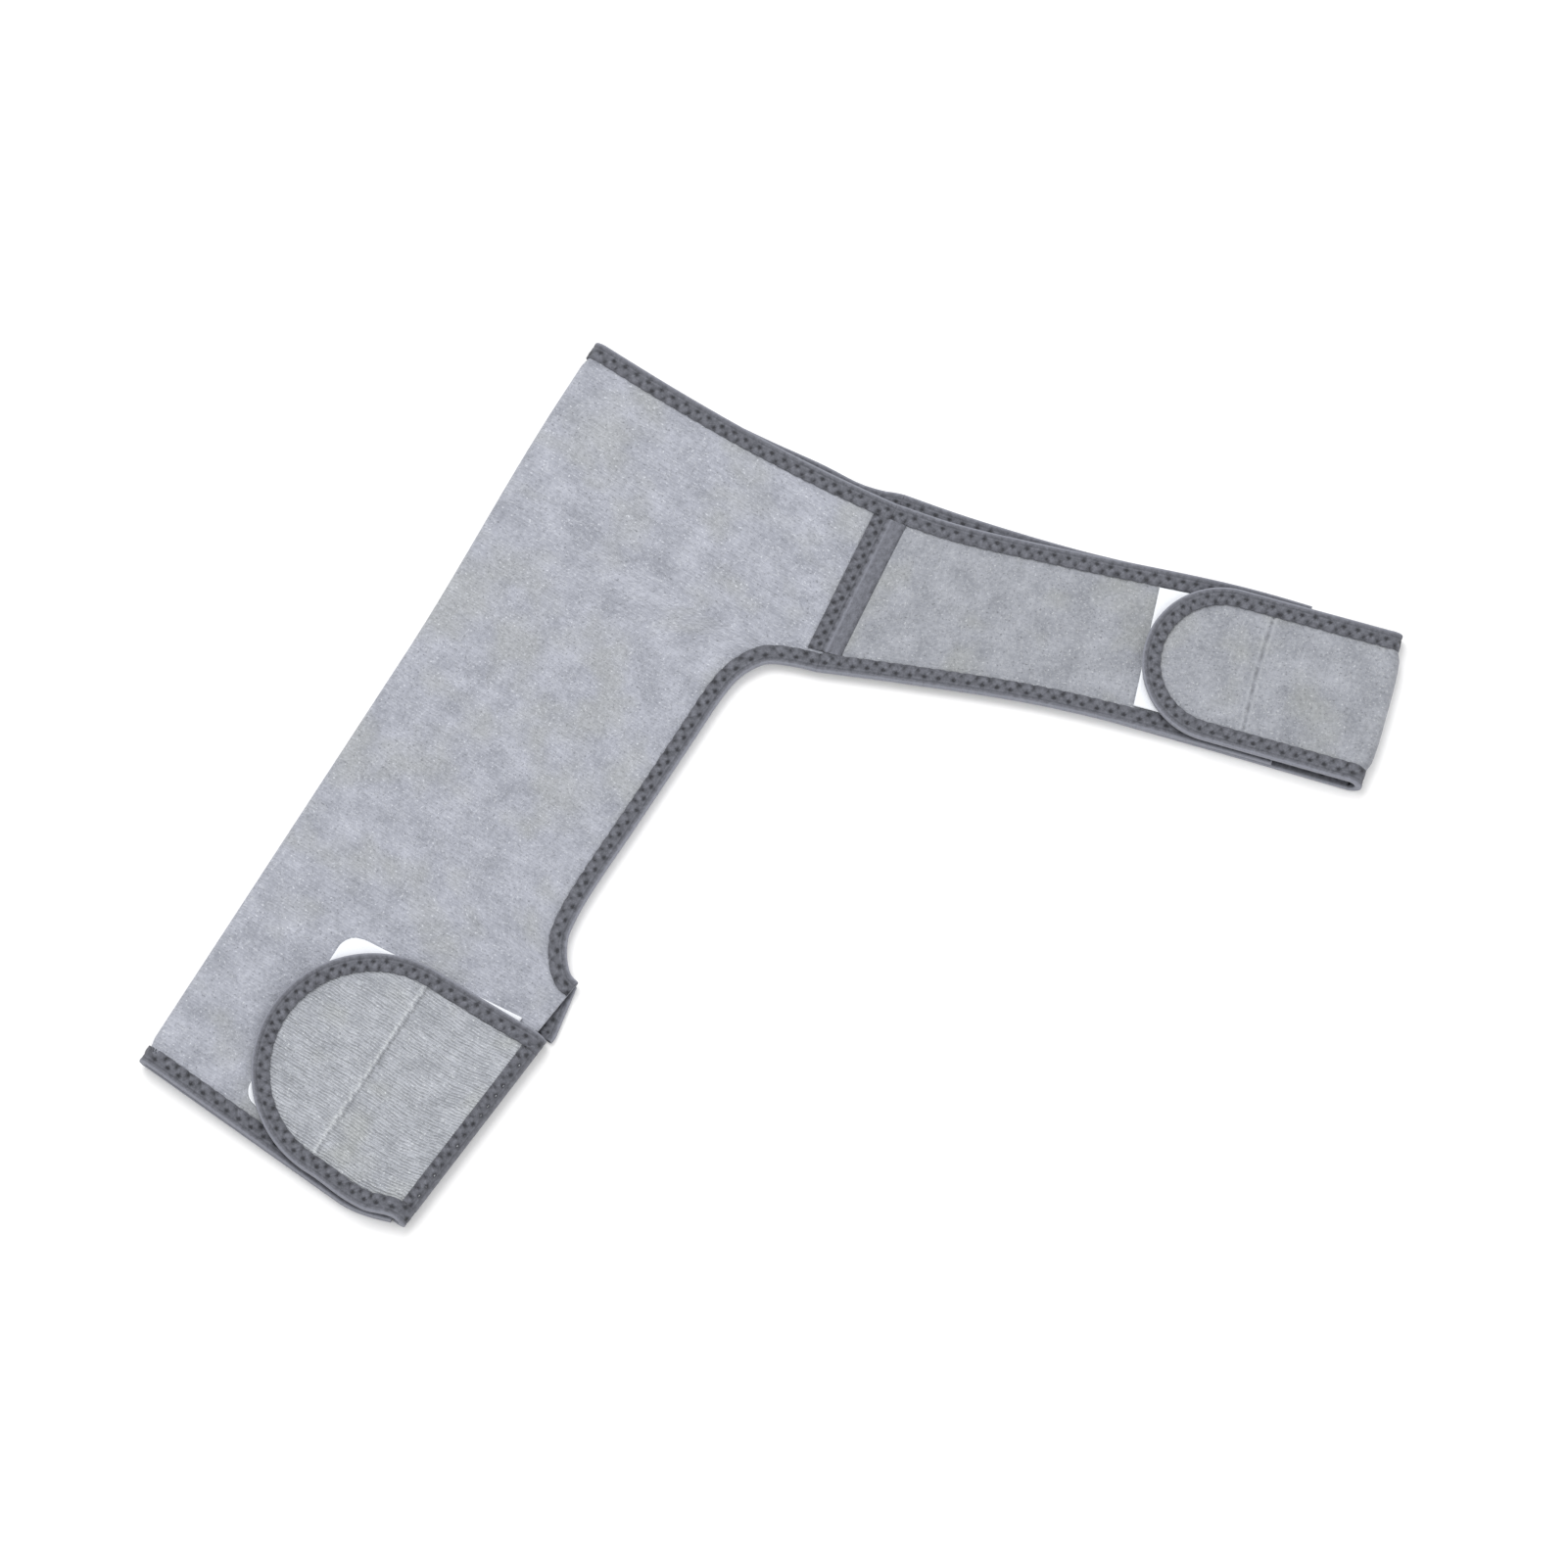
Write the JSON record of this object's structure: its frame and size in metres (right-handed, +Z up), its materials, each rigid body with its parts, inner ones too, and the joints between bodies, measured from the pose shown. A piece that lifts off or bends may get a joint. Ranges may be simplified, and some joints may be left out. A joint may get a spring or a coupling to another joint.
{
  "type": "shoulder brace",
  "caption": "Knitted shoulder brace laid flat: a folded sleeve with a wide chest strap and an arm cuff, each closed by a round hook-and-loop tab.",
  "frame": {"origin": "middle of the whole brace's plan, on the surface that it lies on", "axes": "+Y from the cuff to the neck along the fold, +X from the fold towards the chest strap, +Z up"},
  "size_m": [0.4292, 0.5034, 0.0164],
  "materials": {
    "knit": "matte ribbed knit",
    "tape": "matte woven tape",
    "loop": "brushed loop",
    "hook": "hook tape"
  },
  "bodies": {
    "root": {"body_panel": "knit", "front_strap": "knit", "back_strap": "knit", "cuff_tab": "knit", "neck_binding": "tape", "cuff_binding": "tape", "front_armpit_binding": "tape", "back_armpit_binding": "tape", "front_strap_binding": "tape", "back_strap_binding": "tape", "cuff_tab_binding": "tape", "front_join_band": "tape", "back_join_band": "tape", "cuff_join_band": "tape", "body_patch": "loop", "strap_patch": "loop", "cuff_hook_patch": "hook", "strap_hook_patch": "hook"}
  },
  "joints": []
}
